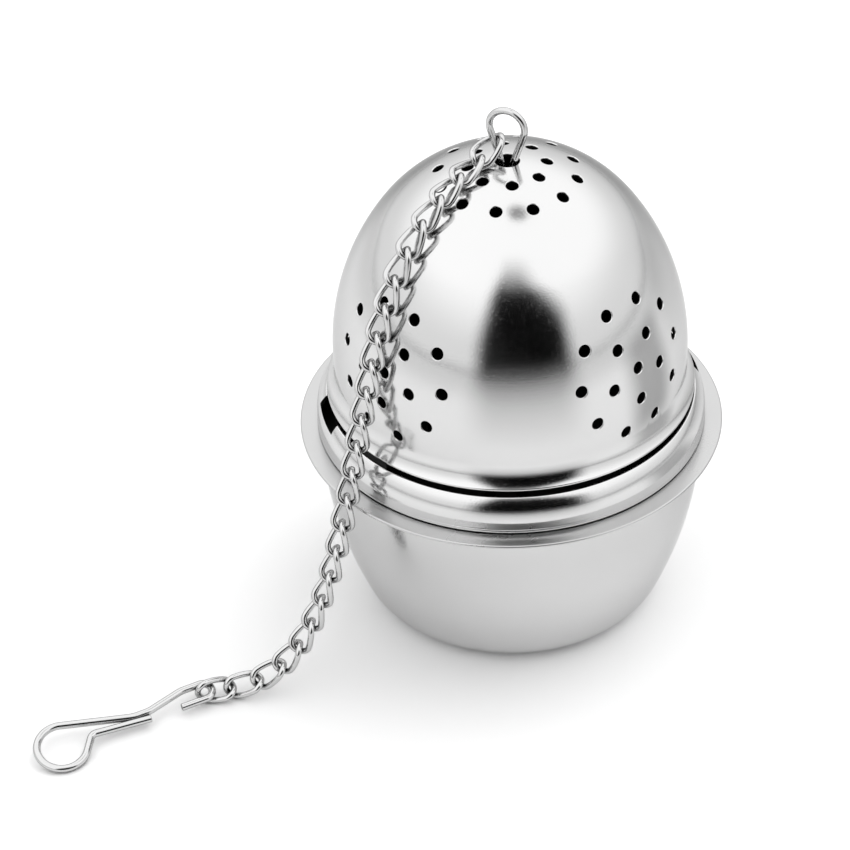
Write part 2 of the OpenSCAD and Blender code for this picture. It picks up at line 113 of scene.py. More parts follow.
FOOT_Z = CROWN_Z + math.sqrt((CROWN_R - SHEET) ** 2 - FOOT_REACH ** 2) - FOOT_GAP - EYE_D / 2
LEG_X = EYE_LEG + FOOT_ROUND - LEG_LEAN
EYE_PATH = [
    (-FOOT_REACH, FOOT_Z, 0),
    (-LEG_X, FOOT_Z + FOOT_ROUND, FOOT_ROUND),
    (0, APEX_Z + EYE_H, -EYE_LOOP_R),
    (LEG_X, FOOT_Z + FOOT_ROUND, FOOT_ROUND),
    (FOOT_REACH, FOOT_Z, 0),
]
HOOK_PATH = [
    (POINT_LEN, TURN_R, 0),
    (0, 0, TURN_R),
    (SHANK[0], SHANK_ROUND - TURN_R, SHANK_ROUND),
    (SHANK[1], SHANK_SIDE - SHANK_ROUND, -SHANK_ROUND),
    (SHANK[2], SHANK_SIDE - SHANK_ROUND, -SHANK_ROUND),
    (*FINGER, FINGER_R),
    (*NECK, -NECK_ROUND),
    (TAIL_X, SHANK_SIDE + HOOK_D + TAIL_GAP, 0),
]

# Small rounded edges that the solids leave sharp: holes outside and inside, the lower half's fillets, the hollow
# over its bead, the flare's edge and the wires' ends
OUT_ROUND, IN_ROUND = 0.14, 0.06
CAP_FILLET, CAP_NOOK, CAP_HOLLOW = 0.2, 0.15, 1.2
FLARE_EASE, WIRE_EASE = 0.05, 0.1

# Fineness of the pierced sheet: points round a hole, steps down its outer and inner edge and down those of the hole
# at the pole, points round the axis, grid, the ring of points round each hole as a share of that grid, the length
# past the start of the flare at which the pierced sheet ends, and how close points of its plan are one
HOLE_N, HOLE_STEPS, POLE_STEPS = 32, (5, 3), (6, 4)
COLUMNS, GRID, COLLAR, JOIN, PLAN_WELD = 360, 0.7, 0.55, 0.7, 1e-7
HOLE_TURN = np.radians(np.arange(0, 360, 360 / HOLE_N))
DEGREES = np.arange(COLUMNS) * 360 / COLUMNS

# Fineness of wires and links: points round them, and steps along straights and round bends
WIRE_SIDES, WIRE_STEP, WIRE_BEND_DEG = 24, 0.3, 4.0
LINK_SIDES, LINK_STRAIGHT, LINK_BEND = 18, 10, 28

# Steel: scale, detail and roughness of the noise for turning lines, specks and smears, the stretch of it that
# counts, the same for openness in crevices, height of the bump in metres, share of the colour in the smears and
# grey of the painted shade in crevices
LINE_NOISE, SPECK_NOISE, SMEAR_NOISE = (5200.0, 3.0), (3800.0, 4.0), (95.0, 5.0, 0.55)
SPECK_RANGE, SMEAR_RANGE, OPEN_RANGE = (0.55, 0.8), (0.3, 0.7), (0.15, 0.8)
BUMP_HEIGHT, SMEAR_SHARE, CREVICE_SHADE_GREY = 0.00001, 0.95, 0.05

# Surroundings: strength of the sky at the sides and overhead, the heights between which it rises, and its
# share at the left and right. Then the floor, and the lamp's strength, spread and direction.
SKY_LOW, SKY_HIGH, RISE = 0.91, 1.29, (0.15, 0.65)
LEFT_SHARE, RIGHT_SHARE = 1.0, 0.97
FLOOR_SIDE, FLOOR_GREY, FLOOR_ROUGHNESS = 1.6, 0.97, 0.9
LAMP_ENERGY, LAMP_DEG, LAMP_WAY = 0.85, 60, (-1.0, -0.5, -1.2)

# Sheets of gauze: middle of their bend, least height over the floor, and distance near and far, in metres
CARD_MIDDLE, CARD_LOW, CARD_NEAR, CARD_FAR = (0, 0, 0.045), 0.0005, 0.3, 3.0

# Dim places in the surroundings, as shares of the light that they take. Angles are in degrees, az from the front
# to the right and el above the level, and each pair of them is a soft flank.
FLOOR_DIM, FLOOR_EL, HORIZON_DIM, HORIZON_EL = 0.19, ((-62, -46), (-1, 5)), 0.17, (-16, -4)
TOP_DIM, TOP_AT, TOP_FLANK = 0.75, (125, 83), (2, 9)
STRIP_DIM, STRIP_AZ, STRIP_EL = 0.5, ((62, 80), (92, 110)), ((-46, -34), (-11, -1))
BACK_DIM, BACK_AZ, BACK_EL = 0.24, ((88, 118), (196, 222)), ((-32, -12), (-6, 14))
BACK_MORE, BACK_MORE_AZ = 0.18, (130, 155)

# The dark bell of the camera side: its left and right border, how far and where they draw in, the blur of the
# borders, lower down and higher up, and the flanks where it fades upwards and passes into the dim floor below
BELL_LEFT, LEFT_IN, LEFT_EL, LEFT_BEND = -22.5, 12.5, (12, 52), 1.4
BELL_RIGHT, RIGHT_IN, RIGHT_EL = 36, 20, (22, 48)
BELL_BLUR, LOW_BLUR, LOW_BLUR_DEPTH, HIGH_BLUR, HIGH_BLUR_EL = 6.5, 5, (0, 12), 6, (14, 42)
BELL_FADE, BELL_FOOT, APRON_DIM, APRON_EL = (33, 66), (-8, 6), 0.5, (-33, -3)

# Camera: angles in degrees, the point on the axis that it is set by, that point's place beside the middle of the
# view and its distance in millimetres, the focal length and the frame's side in pixels, and the sensor
CAMERA_EL, CAMERA_ROLL, CAMERA_AIM = 37.8, -2.24, (0, 0, 26)
CAMERA_SHIFT, CAMERA_AWAY = (10.99, 1.95), 333.66
FOCAL_PX, FRAME_PX, SENSOR, CLIP = 2600, 850, 36.0, (0.01, 10)


class Skin:
    """Faces with a normal at every corner, made into one welded mesh."""

    def __init__(self):
        self.points, self.normals, self.faces, self.finish, self.count = [], [], [], [], 0

    def add(self, points, normals, faces, finish=0):
        """The last argument is the place of the faces' material among those of the piece: the second is the satin
        flange on the cup, and on the ball the near-black painted shade of the inside.
        """
        points = np.asarray(points, float).reshape(-1, 3)
        self.points.append(points)
        self.normals.append(np.asarray(normals, float).reshape(-1, 3))
        self.faces += [[i + self.count for i in f] for f in faces]
        self.finish += [finish] * len(faces)
        self.count += len(points)

    def piece(self, name, body, materials):
        """The skin as a piece that rides on a body and stands for its node, which has the same name."""
        points, normals = np.vstack(self.points), np.vstack(self.normals)
        keys = np.round(points / WELD).astype(np.int64)
        _, first, welded = np.unique(keys, axis=0, return_index=True, return_inverse=True)
        welded = welded.ravel()
        faces, corners, finish = [], [], []
        for f, place in zip(self.faces, self.finish):
            kept = [i for k, i in enumerate(f) if welded[i] != welded[f[k - 1]]]
            if len(kept) > 2:
                faces.append([int(welded[i]) for i in kept])
                corners += [normals[i] for i in kept]
                finish.append(place)
        mesh = bpy.data.meshes.new(name)
        mesh.from_pydata((points[first] * MM).tolist(), [], faces)
        mesh.polygons.foreach_set("use_smooth", [True] * len(faces))
        mesh.normals_split_custom_set([tuple(n) for n in corners])
        for material in materials:
            mesh.materials.append(material)
        mesh.polygons.foreach_set("material_index", finish)
        obj = bpy.data.objects.new(name, mesh)
        bpy.context.scene.collection.objects.link(obj)
        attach(obj, body)
        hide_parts(body)


def unit(v):
    v = np.asarray(v, float)
    return v / np.linalg.norm(v, axis=-1, keepdims=True)


def arc(r, z, radius, start, end, out, n):
    """Points and normals along an arc of a section. With out 1 the normals point away from its middle, with -1
    towards it."""
    a = np.radians(np.linspace(start, end, n + 1))
    way = np.stack([np.cos(a), np.sin(a)], 1)
    return np.array([r, z]) + radius * way, out * way


def line(p, q, normal, n=1):
    """Points and normals along a straight stretch of a section."""
    t = np.linspace(0, 1, n + 1)[:, None]
    return np.array(p) * (1 - t) + np.array(q) * t, np.tile(np.array(normal, float), (n + 1, 1))


def section(*parts):
    """Stretches of a section, one after the other."""
    return np.vstack([p[0] for p in parts]), np.vstack([p[1] for p in parts])


def turned(points, normals, phi):
    """A section's points and normals turned to the angles phi, in radians."""
    c, s = np.cos(phi)[:, None], np.sin(phi)[:, None]
    where = np.stack([points[:, 0] * c, points[:, 0] * s, points[:, 1] + 0 * c], 2)
    way = np.stack([normals[:, 0] * c, normals[:, 0] * s, normals[:, 1] + 0 * c], 2)
    return where, way


def lathe(skin, part, degrees, closed=True, finish=0):
    """A section turned about the axis. Its metal lies left of the section's way."""
    points, normals = part
    where, way = turned(points, normals, np.radians(degrees))
    k, rows = len(points), len(degrees)
    faces = []
    for j in range(rows if closed else rows - 1):
        a, b = j * k, (j + 1) % rows * k
        faces += [[a + i, b + i, b + i + 1, a + i + 1] for i in range(k - 1)]
    skin.add(where, way, faces, finish)


def end_face(skin, outline, degrees, sign, finish=0):
    """A flat face that closes a turned section at an angle, looking the way that sign gives."""
    a = math.radians(degrees)
    where, _ = turned(outline, outline, np.array([a]))
    way = np.tile([-sign * math.sin(a), sign * math.cos(a), 0], (len(outline), 1))
    loop = list(range(len(outline)))
    skin.add(where, way, [loop[::-1] if sign > 0 else loop], finish)


def ring(s, count, shift=0.0):
    """Arc length and angle of points evenly round the axis."""
    return np.full(count, float(s)), np.radians((np.arange(count) + shift) * 360 / count)


def bands(rows, count, closed=False):
    """Faces between neighbouring rings of count points, and from the last ring to the first where closed."""
    faces = []
    for k in range(rows if closed else rows - 1):
        a, b = k * count, (k + 1) % rows * count
        for i in range(count):
            j = (i + 1) % count
            faces.append([a + i, a + j, b + j, b + i])
    return faces


def facing(points, normals, faces):
    """The faces, each turned so that it agrees with its corners' normals."""
    p, n, f = np.asarray(points), np.asarray(normals), np.asarray(faces)
    across = np.cross(p[f[:, 1]] - p[f[:, 0]], p[f[:, 2]] - p[f[:, 0]])
    back = (across * n[f].sum(1)).sum(1) < 0
    f[back] = f[back][:, ::-1]
    return f.tolist()


class Surface:
    """A turned surface given by arc length from its pole, with the way back from a point."""

    def __init__(self, at, back):
        self.at, self.back = at, back

    def place(self, s, phi, depth=0.0):
        """Points at a depth below the surface, and the surface's normals there."""
        r, z, nr, nz = self.at(np.asarray(s, float))
        n = np.stack([nr * np.cos(phi), nr * np.sin(phi), nz], -1)
        p = np.stack([r * np.cos(phi), r * np.sin(phi), z], -1)
        return p - np.asarray(depth)[..., None] * n, n

    def around(self, hole, radius, turn):
        """Arc length and angle of the points at a radius round a hole, and their way outwards."""
        s, phi = hole
        p, n = self.place(np.array(s), np.array(phi))
        e_phi = np.array([-math.sin(phi), math.cos(phi), 0])
        e_s = np.cross(e_phi, n)
        out = np.cos(turn)[:, None] * e_s + np.sin(turn)[:, None] * e_phi
        q = p + radius * out
        return self.back(np.hypot(q[:, 0], q[:, 1]), q[:, 2]), np.arctan2(q[:, 1], q[:, 0]), out


def pierced(skin, surface, holes, pole_r, outer, inside=False):
    """One face of a sheet with the holes left open, from the hole at its pole out to an arc length."""
    ease = IN_ROUND if inside else OUT_ROUND
    inner, edge = pole_r + ease, HOLE_R + ease
    loops = [ring(inner, COLUMNS // 2), ring(outer, COLUMNS)]
    loops += [surface.around(hole, edge, HOLE_TURN)[:2] for hole in holes]
    plan = loops + [surface.around(hole, edge + GRID * COLLAR, HOLE_TURN[::2])[:2] for hole in holes]
    centres = np.array([surface.place(np.array(s), np.array(phi))[0] for s, phi in holes])
    rows = max(2, int(round((outer - inner) / GRID)))
    for k in range(1, rows):
        s = inner + (outer - inner) * k / rows
        r = float(surface.at(np.array(s))[0])
        count = int(np.clip(round(2 * math.pi * r / GRID), COLUMNS // 4, COLUMNS))
        s, phi = ring(s, count, 0.5 * (k % 2))
        p, _ = surface.place(s, phi)
        clear = np.linalg.norm(p[:, None] - centres[None], axis=2).min(1) > edge + GRID
        plan.append((s[clear], phi[clear]))
    s, phi = np.concatenate([p[0] for p in plan]), np.concatenate([p[1] for p in plan])
    owner = np.full(len(s), -1)
    edges, start = [], 0
    for k, (loop, _) in enumerate(loops):
        count = len(loop)
        owner[start:start + count] = k
        edges += [(start + i, start + (i + 1) % count) for i in range(count)]
        start += count
    flat = [Vector((a * math.cos(b), a * math.sin(b))) for a, b in zip(s, phi)]
    faces, origin = delaunay_2d_cdt(flat, edges, [], 0, PLAN_WELD)[2:4]
    tris = np.array([o[0] for o in origin])[np.array(faces)]
    # A triangle whose corners all lie on one loop is in a hole, unless it is loop 1, the outer edge
    o = owner[tris]
    in_hole = (o[:, 0] == o[:, 1]) & (o[:, 1] == o[:, 2]) & (o[:, 0] >= 0) & (o[:, 0] != 1)
    p, n = surface.place(s, phi, np.full(len(s), SHEET if inside else 0.0))
    n = -n if inside else n
    # Inner faces take the second material, the near-black painted shade
    skin.add(p, n, facing(p, n, tris[~in_hole]), 1 if inside else 0)


def wall(skin, surface, radius, steps, ring_at):
    """The rolled edge and wall of a hole, from the outer to the inner face of the sheet. The rolled edge is
    polished and the rest has the near-black painted shade of the inside. ring_at gives the points at a radius and
    their way outwards."""
    outer, inner = steps
    profile = []
    for a in np.radians(np.linspace(0, 90, outer + 1)):
        profile.append((radius + OUT_ROUND * (1 - math.sin(a)), OUT_ROUND * (1 - math.cos(a)), a))
    for a in np.radians(np.linspace(90, 180, inner + 1)):
        profile.append((radius + IN_ROUND * (1 - math.sin(a)), SHEET - IN_ROUND * (1 + math.cos(a)), a))
    points, normals = [], []
    for reach, depth, a in profile:
        s, phi, out = ring_at(reach)
        p, n = surface.place(s, phi, np.full(len(s), depth))
        points.append(p)
        normals.append(unit(math.cos(a) * n - math.sin(a) * out))
    count = len(points[0])
    points, normals = np.vstack(points), np.vstack(normals)
    faces = facing(points, normals, bands(len(profile), count))
    skin.add(points, normals, faces[:outer * count])
    skin.add(points, normals, faces[outer * count:], 1)


def walls(skin, surface, holes, pole_r):
    """The walls of the holes in a sheet and of the one at its pole."""
    def at_pole(radius):
        s, phi = ring(radius, COLUMNS // 2)
        return s, phi, np.stack([np.cos(phi), np.sin(phi), 0 * phi], 1)

    for hole in holes:
        wall(skin, surface, HOLE_R, HOLE_STEPS, lambda radius: surface.around(hole, radius, HOLE_TURN))
    wall(skin, surface, pole_r, POLE_STEPS, at_pole)


def drip_cup(materials):
    """Spun cup with a bulged side and a flat flange, which has the second material."""
    side_cr = CUP_R - CUP_SIDE
    corner_cr = side_cr + math.sqrt((CUP_SIDE - CUP_CORNER) ** 2 - (LIP_CZ - CUP_CORNER) ** 2)
    turn = math.degrees(math.atan2(CUP_CORNER - LIP_CZ, corner_cr - side_cr))
    rim = SHEET / 2
    skin = Skin()
    flange = section(
        arc(RIM_R - rim, CUP_H - rim, rim, 0, 90, 1, 8),
        line((RIM_R - rim, CUP_H), (LIP_CR, CUP_H), (0, 1), 3),
        arc(LIP_CR, LIP_CZ, CUP_LIP, 90, 135, 1, 6),
    )
    inside = section(
        arc(LIP_CR, LIP_CZ, CUP_LIP, 135, 180, 1, 6),
        arc(side_cr, LIP_CZ, CUP_SIDE - SHEET, 0, turn, -1, 32),
        arc(corner_cr, CUP_CORNER, CUP_CORNER - SHEET, turn, -90, -1, 16),
        line((corner_cr, SHEET), (0, SHEET), (0, 1), 6),
    )
    outside = section(
        line((0, 0), (corner_cr, 0), (0, -1), 6),
        arc(corner_cr, CUP_CORNER, CUP_CORNER, -90, turn, 1, 16),
        arc(side_cr, LIP_CZ, CUP_SIDE, turn, 0, 1, 32),
        arc(LIP_CR, LIP_CZ, CUP_LIP - SHEET, 180, 90, -1, 8),
        line((LIP_CR, CUP_H - SHEET), (RIM_R - rim, CUP_H - SHEET), (0, -1), 3),
        arc(RIM_R - rim, CUP_H - rim, rim, -90, 0, 1, 8),
    )
    lathe(skin, outside, DEGREES)
    lathe(skin, flange, DEGREES, finish=1)
    lathe(skin, inside, DEGREES)
    skin.piece("drip_cup_shell", "drip_cup", materials)


def rosettes(surface, middle):
    """Arc length and angle of the rosettes' holes, where middle is the arc length of the rosettes' middles."""
    found = []
    for az in ROSETTE_AZ + 360 / ROSETTES * np.arange(ROSETTES):
        for radius, count, shift in ROSETTE_RINGS:
            for k in range(count):
                a = 2 * math.pi * (k + shift) / count
                s = middle + radius * math.cos(a)
                reach = float(surface.at(np.array(s))[0])
                found.append((s, math.radians(az) + radius * math.sin(a) / reach))
    return found


def crown_rings(radius):
    """Arc length and angle of the holes in the two rings round the pole of a ball."""
    return [
        (radius * math.asin(r / radius), math.radians(az + 360 / count * k))
        for r, count, az in RINGS
        for k in range(count)
    ]


def lower_cap(materials):
    """Pierced bowl with a bead at the seam and a collar, whose inward lip has two notches."""
    def at(s):
        a = s / BALL_R
        return BALL_R * np.sin(a), BALL_Z - BALL_R * np.cos(a), np.sin(a), -np.cos(a)

    def back(r, z):
        return BALL_R * np.arctan2(r, BALL_Z - z)

    ball = Surface(at, back)
    top = BALL_R * math.pi / 2
    holes = crown_rings(BALL_R) + rosettes(ball, top - BALL_ROSETTE)
    end = top - CAP_FILLET
    skin = Skin()
    pierced(skin, ball, holes, HOLE_R, end)
    pierced(skin, ball, holes, HOLE_R, top, inside=True)
    walls(skin, ball, holes, HOLE_R)
    fillet, nook, hollow = CAP_FILLET, CAP_NOOK, CAP_HOLLOW
    rise = math.sqrt((BEAD_R + hollow) ** 2 - (BAND_R + hollow - BEAD_X) ** 2)
    lean = math.degrees(math.atan2(rise, BAND_R + hollow - BEAD_X))
    lip_r = SHOULDER_X + LIP_MID * math.cos(math.radians(LIP_DEG))
    lip_z = SHOULDER_Z + LIP_MID * math.sin(math.radians(LIP_DEG))
    r_end, z_end = (float(v) for v in at(np.array(end))[:2])
    low = section(
        line((r_end, z_end), (BALL_R, BALL_Z - fillet), (1, 0)),
        arc(BALL_R + fillet, BALL_Z - fillet, fillet, 180, 90, -1, 6),
        line((BALL_R + fillet, BALL_Z), (BEAD_X, BALL_Z), (0, -1), 2),
        arc(BEAD_X, BEAD_Z, BEAD_R, -90, lean, 1, 16),
        arc(BAND_R + hollow, BEAD_Z + rise, hollow, lean + 180, 180, -1, 6),
        line((BAND_R, BEAD_Z + rise), (BAND_R, SHOULDER_Z), (1, 0), 3),
    )
    cut = math.degrees(math.acos((NOTCH_R - SHOULDER_X) / SHOULDER_R))
    cut_z = SHOULDER_Z + SHOULDER_R * math.sin(math.radians(cut))
    shoulder = arc(SHOULDER_X, SHOULDER_Z, SHOULDER_R, 0, cut, 1, 10)
    lip_out = arc(SHOULDER_X, SHOULDER_Z, SHOULDER_R, cut, LIP_DEG, 1, 8)
    lip_edge = arc(lip_r, lip_z, SHEET / 2, LIP_DEG, LIP_DEG + 180, 1, 8)
    lip_in = arc(SHOULDER_X, SHOULDER_Z, SHOULDER_R - SHEET, LIP_DEG, 0, -1, 14)
    notch = line((NOTCH_R, cut_z), (NOTCH_R, SHOULDER_Z), (-1, 0), 2)
    high = section(
        line((NOTCH_R, SHOULDER_Z), (NOTCH_R, BEAD_Z + nook), (-1, 0), 3),
        arc(NOTCH_R - nook, BEAD_Z + nook, nook, 0, -90, -1, 6),
        line((NOTCH_R - nook, BEAD_Z), (BALL_R - SHEET + fillet, BEAD_Z), (0, 1), 2),
        arc(BALL_R - SHEET + fillet, BEAD_Z - fillet, fillet, 90, 180, 1, 6),
        line((BALL_R - SHEET, BEAD_Z - fillet), (BALL_R - SHEET, BALL_Z), (-1, 0)),
    )
    lathe(skin, section(low, shoulder), DEGREES)
    lathe(skin, high, DEGREES, finish=1)
    rim = np.vstack([lip_out[0], lip_edge[0], lip_in[0], notch[0][::-1]])
    half = NOTCH_DEG / 2
    for az in (NOTCH_AZ, NOTCH_AZ + 180):
        gap = np.arange(az - half, az + half + 1)
        rest = np.arange(az + half, az + 180 - half + 1)
        lathe(skin, notch, gap, closed=False)
        lathe(skin, section(lip_out, lip_edge), rest, closed=False)
        lathe(skin, lip_in, rest, closed=False, finish=1)
        end_face(skin, rim, az - half, 1)
        end_face(skin, rim, az + half, -1)
    skin.piece("lower_cap_shell", "lower_cap", materials)


def dome(materials):
    """Pierced shell of a crown arc, a side arc and a flared edge, with two locking tabs under the edge."""
    crown_a = math.atan2(CROWN_RISE, -DOME_X)
    s_crown = CROWN_R * (math.pi / 2 - crown_a)
    s_wide = s_crown + DOME_SIDE * crown_a
    s_flare = s_wide + DOME_SIDE * FLARE_A

    def at(s):
        t = s / CROWN_R
        b = crown_a - (s - s_crown) / DOME_SIDE
        g = math.pi - FLARE_A + (s - s_flare) / FLARE_R
        crown, side = s <= s_crown, s <= s_flare
        return (
            np.where(crown, CROWN_R * np.sin(t),
                     np.where(side, DOME_X + DOME_SIDE * np.cos(b), FLARE_X + FLARE_R * np.cos(g))),
            np.where(crown, CROWN_Z + CROWN_R * np.cos(t),
                     np.where(side, DOME_Z + DOME_SIDE * np.sin(b), FLARE_Z + FLARE_R * np.sin(g))),
            np.where(crown, np.sin(t), np.where(side, np.cos(b), -np.cos(g))),
            np.where(crown, np.cos(t), np.where(side, np.sin(b), -np.sin(g))),
        )

    def back(r, z):
        t = np.arctan2(r, z - CROWN_Z)
        b = np.arctan2(z - DOME_Z, r - DOME_X)
        return np.where(t * CROWN_R <= s_crown, CROWN_R * t, s_wide - DOME_SIDE * b)

    shell = Surface(at, back)
    middle = s_wide - DOME_SIDE * math.asin(ROSETTE_H / DOME_SIDE)
    holes = crown_rings(CROWN_R) + rosettes(shell, middle)
    join = s_flare + JOIN
    skin = Skin()
    pierced(skin, shell, holes, CROWN_HOLE_R, join)
    pierced(skin, shell, holes, CROWN_HOLE_R, join, inside=True)
    walls(skin, shell, holes, CROWN_HOLE_R)
    last = math.acos((FLARE_EDGE - FLARE_EASE - FLARE_X) / FLARE_R)
    s_edge = s_flare + FLARE_R * (FLARE_A + math.pi - last) - SHEET / 2
    s = np.linspace(join, s_edge, 14)
    r, z, nr, nz = at(s)
    outer, way = np.stack([r, z], 1), np.stack([nr, nz], 1)
    face = math.degrees(math.atan2(way[-1][1], way[-1][0]))
    middle_edge = outer[-1] - way[-1] * SHEET / 2
    lathe(skin, (outer - way * SHEET, -way), DEGREES, finish=1)
    lathe(skin, section(
        arc(*middle_edge, SHEET / 2, face - 180, face, 1, 10),
        (outer[::-1], way[::-1]),
    ), DEGREES)
    tab = [
        (STRIP_R - SHEET, LUG_TOP - LUG_H), (LUG_R, LUG_TOP - LUG_H), (LUG_R, LUG_TOP), (STRIP_R, LUG_TOP),
        (STRIP_R, LIP_TOP + SEAT), (REST_R, LIP_TOP + SEAT), (REST_R, EDGE_Z + REST_SINK),
        (STRIP_R, EDGE_Z + STRIP_SINK), (STRIP_R - SHEET, EDGE_Z + STRIP_SINK),
    ]
    # The tabs take the near-black painted shade of the inside, so that they stay dark in the gap
    for az in (NOTCH_AZ + LOCK_TURN, NOTCH_AZ + LOCK_TURN + 180):
        span = np.linspace(az - TAB_DEG / 2, az + TAB_DEG / 2, 9)
        for p, q in zip(tab, tab[1:] + tab[:1]):
            along = unit(np.array(q) - np.array(p))
            lathe(skin, line(p, q, (along[1], -along[0])), span, closed=False, finish=1)
        end_face(skin, np.array(tab), span[0], -1, finish=1)
        end_face(skin, np.array(tab), span[-1], 1, finish=1)
    skin.piece("dome_shell", "dome", materials)


def wire_line(path):
    """Middle line of a bent wire and its heading. Bends are circles with a signed radius, joined by tangents."""
    def head(a, b):
        gap = math.hypot(b[0] - a[0], b[1] - a[1])
        return math.atan2(b[1] - a[1], b[0] - a[0]) - math.asin((b[2] - a[2]) / gap)

    def touch(c, h):
        return [c[0] + c[2] * math.sin(h), c[1] - c[2] * math.cos(h)]

    heads = [head(a, b) for a, b in zip(path, path[1:])]
    points, ways = [], []
    for k, h in enumerate(heads):
        a, b = np.array(touch(path[k], h)), np.array(touch(path[k + 1], h))
        count = max(1, int(np.linalg.norm(b - a) / WIRE_STEP))
        for t in np.linspace(0, 1, count + 1):
            points.append(a * (1 - t) + b * t)
            ways.append(h)
        if k + 1 < len(heads):
            c, out = path[k + 1], heads[k + 1]
            sweep = (out - h) % (2 * math.pi) if c[2] > 0 else -((h - out) % (2 * math.pi))
            count = max(2, int(abs(math.degrees(sweep)) / WIRE_BEND_DEG))
            for t in np.linspace(0, 1, count + 1)[1:-1]:
                points.append(np.array(touch(c, h + sweep * t)))
                ways.append(h + sweep * t)
    return np.array(points), np.array(ways)


def wire(name, body, path, diameter, place, material):
    """A bent wire of round section with eased ends. place maps its flat plane into the frame."""
    flat, heads = wire_line(path)
    r, bevel, sides = diameter / 2, WIRE_EASE, WIRE_SIDES
    spokes = np.radians(np.arange(sides) * 360 / sides)
    along = np.stack([np.cos(heads), np.sin(heads), 0 * heads], 1)
    side = np.stack([-np.sin(heads), np.cos(heads), 0 * heads], 1)
    middle = np.hstack([flat, np.zeros((len(flat), 1))])
    up = np.array([0, 0, 1.0])
    way = side[:, None] * np.cos(spokes)[None, :, None] + up * np.sin(spokes)[None, :, None]
    starts, ends = [], []
    for a in np.radians(np.linspace(0, 90, 5))[1:]:
        inset, reach = bevel * (1 - math.cos(a)), bevel * math.sin(a) - bevel
        starts.append((middle[0] - along[0] * reach + (r - inset) * way[0],
                       unit(math.cos(a) * way[0] - math.sin(a) * along[0])))
        ends.append((middle[-1] + along[-1] * reach + (r - inset) * way[-1],
                     unit(math.cos(a) * way[-1] + math.sin(a) * along[-1])))
    middle[0] += along[0] * bevel
    middle[-1] -= along[-1] * bevel
    points = [p for p, _ in starts[::-1]] + list(middle[:, None] + r * way) + [p for p, _ in ends]
    normals = [n for _, n in starts[::-1]] + list(way) + [n for _, n in ends]
    rows = len(points)
    points, normals = np.array(points).reshape(-1, 3), np.array(normals).reshape(-1, 3)
    skin = Skin()
    where, lean = place(points), place(normals, turn_only=True)
    skin.add(where, lean, facing(where, lean, bands(rows, sides)))
    for k, way_out in ((0, -along[0]), (rows - 1, along[-1])):
        cap = where[k * sides:(k + 1) * sides]
        out = np.repeat(place(way_out[None], turn_only=True), sides, 0)
        skin.add(cap, out, facing(cap, out, [list(range(sides))]))
    skin.piece(name, body, [material])


def eye_place(p, turn_only=False):
    """Upright on the axis and turned about it, so that normals take the same way. turn_only is not used."""
    a = math.radians(EYE_AZ)
    return np.stack([p[:, 0] * math.cos(a) + p[:, 2] * math.sin(a),
                     p[:, 0] * math.sin(a) - p[:, 2] * math.cos(a), p[:, 1]], 1)


def hook_place(p, turn_only=False):
    """Rolled about its length, tilted until the finger loop rests on the table, then turned and set in the last
    link. turn_only is for normals."""
    held = np.array(next(j["pos_m"] for j in frame["joints"] if j["name"] == "hook_turn")) / MM
    a, lean = math.radians(HOOK_AZ), math.radians(-HOOK_LEAN)
    drop = (FINGER[1] + FINGER_R) * math.sin(-lean)
    tilt = math.asin((held[2] - HOOK_D / 2 - TABLE_GAP - drop) / FINGER[0])
    turn = Matrix.Rotation(a, 3, "Z") @ Matrix.Rotation(tilt, 3, "Y") @ Matrix.Rotation(lean, 3, "X")
    back = TURN_R - (HOOK_D + LINK_GAP) / 2 - HOOK_SLACK - (LINK_D + LINK_GAP) / 2
    at = held + back * np.array([math.cos(a), math.sin(a), 0])
    q = p @ np.array(turn).T
    return q if turn_only else q + at


def chain_links(material):
    """Each link is a twisted oval of round wire, set in the frame of its solid."""
    b = (LINK_W - LINK_D) / 2
    a = (LINK_PITCH + LINK_D + LINK_GAP) / 2
    s = a - b
    t = np.radians(np.linspace(-90, 90, LINK_BEND, endpoint=False))
    x = np.linspace(s, -s, LINK_STRAIGHT, endpoint=False)
    half = np.vstack([np.stack([s + b * np.cos(t), b * np.sin(t)], 1), np.stack([x, 0 * x + b], 1)])
    oval = np.vstack([half, -half])
    turn = np.radians(-LINK_TWIST * oval[:, 0] / a)
    middle = np.stack([oval[:, 0], oval[:, 1] * np.cos(turn), oval[:, 1] * np.sin(turn)], 1)
    along = unit(np.roll(middle, -1, 0) - np.roll(middle, 1, 0))
    up = np.stack([0 * turn, -np.sin(turn), np.cos(turn)], 1)
    up = unit(up - (up * along).sum(1, keepdims=True) * along)
    across = np.cross(along, up)
    spokes = np.radians(np.arange(LINK_SIDES) * 360 / LINK_SIDES)
    way = up[:, None] * np.cos(spokes)[None, :, None] + across[:, None] * np.sin(spokes)[None, :, None]
    points = (middle[:, None] + LINK_D / 2 * way).reshape(-1, 3)
    normals = way.reshape(-1, 3)
    faces = bands(len(middle), LINK_SIDES, closed=True)
    for i in range(1, LINKS + 1):
        node = frame["nodes"][f"link_{i}"]
        co = np.array([v.co for v in node.data.vertices], float) / MM
        centre = co.mean(0)
        _, axes = np.linalg.eigh(np.cov((co - centre).T))
        basis = np.stack([axes[:, 2], axes[:, 1], np.cross(axes[:, 2], axes[:, 1])])
        skin = Skin()
        where, lean = points @ basis + centre, normals @ basis
        skin.add(where, lean, facing(where, lean, faces))
        skin.piece(f"chain_link_{i}", f"link_{i}", [material])


def new_material(name):
    """A material with an empty node tree, its tree and its output's socket."""
    material = bpy.data.materials.new(name)
    material.use_nodes = True
    tree = material.node_tree
    tree.nodes.clear()
    return material, tree, add(tree, "ShaderNodeOutputMaterial").inputs["Surface"]


def add(tree, kind, **settings):
    node = tree.nodes.new(kind)
    for name, value in settings.items():
        setattr(node, name, value)
    return node


